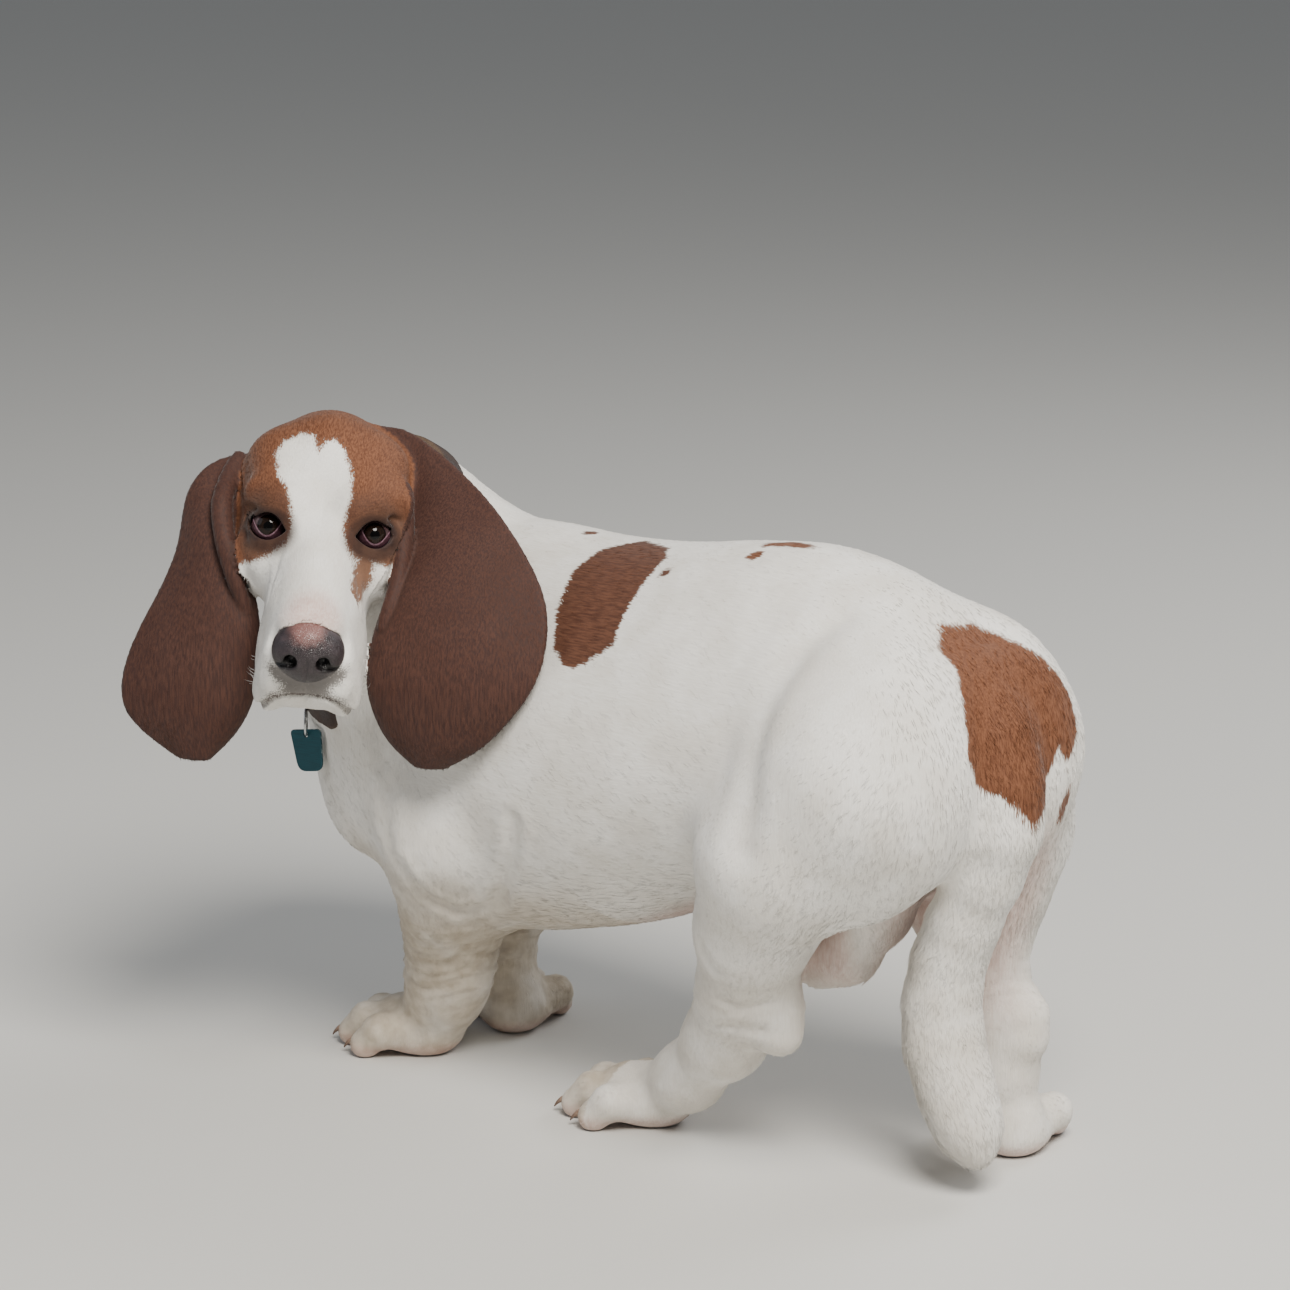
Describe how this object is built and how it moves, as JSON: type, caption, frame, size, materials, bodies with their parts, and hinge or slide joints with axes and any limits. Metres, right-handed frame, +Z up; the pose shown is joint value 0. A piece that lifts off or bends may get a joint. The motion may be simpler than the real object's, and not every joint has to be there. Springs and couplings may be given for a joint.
{
  "type": "basset hound figure",
  "caption": "Life-size still figure of a standing basset hound looking back over its left side, with long hanging ears, collar and a bare tag.",
  "frame": {"origin": "middle of the footprint, on the floor under the paws", "axes": "+Z up, -X the way the body faces, -Y the side the head looks back over"},
  "size_m": [0.5752, 0.3822, 0.4325],
  "materials": {
    "coat": "short smooth fur, white with russet patches",
    "ear_coat": "short soft fur, mahogany",
    "eye": "wet, dark brown",
    "nose_leather": "moist, pebbled",
    "claw": "horn, satin",
    "collar_strap": "dark strap, matte",
    "ring_steel": "split ring, satin",
    "tag_metal": "teal anodised, satin, bare"
  },
  "bodies": {
    "root": {"claw_fore_left_1": "claw", "claw_fore_left_2": "claw", "claw_fore_left_3": "claw", "claw_fore_left_4": "claw", "claw_fore_right_1": "claw", "claw_fore_right_2": "claw", "claw_fore_right_3": "claw", "claw_fore_right_4": "claw", "claw_hind_left_1": "claw", "claw_hind_left_2": "claw", "claw_hind_left_3": "claw", "claw_hind_left_4": "claw", "claw_hind_right_1": "claw", "claw_hind_right_2": "claw", "claw_hind_right_3": "claw", "claw_hind_right_4": "claw", "collar": "collar_strap", "ear_left": "ear_coat", "ear_right": "ear_coat", "eye_left": "eye", "eye_right": "eye", "fore_leg_left": "coat", "fore_leg_right": "coat", "fore_paw_left": "coat", "fore_paw_right": "coat", "groin": "coat", "head": "coat", "hind_paw_left": "coat", "hind_paw_right": "coat", "neck": "coat", "nose": "nose_leather", "shank_left": "coat", "shank_right": "coat", "tag": "tag_metal", "tag_ring": "ring_steel", "tail": "coat", "thigh_left": "coat", "thigh_right": "coat", "torso": "coat"}
  },
  "joints": []
}
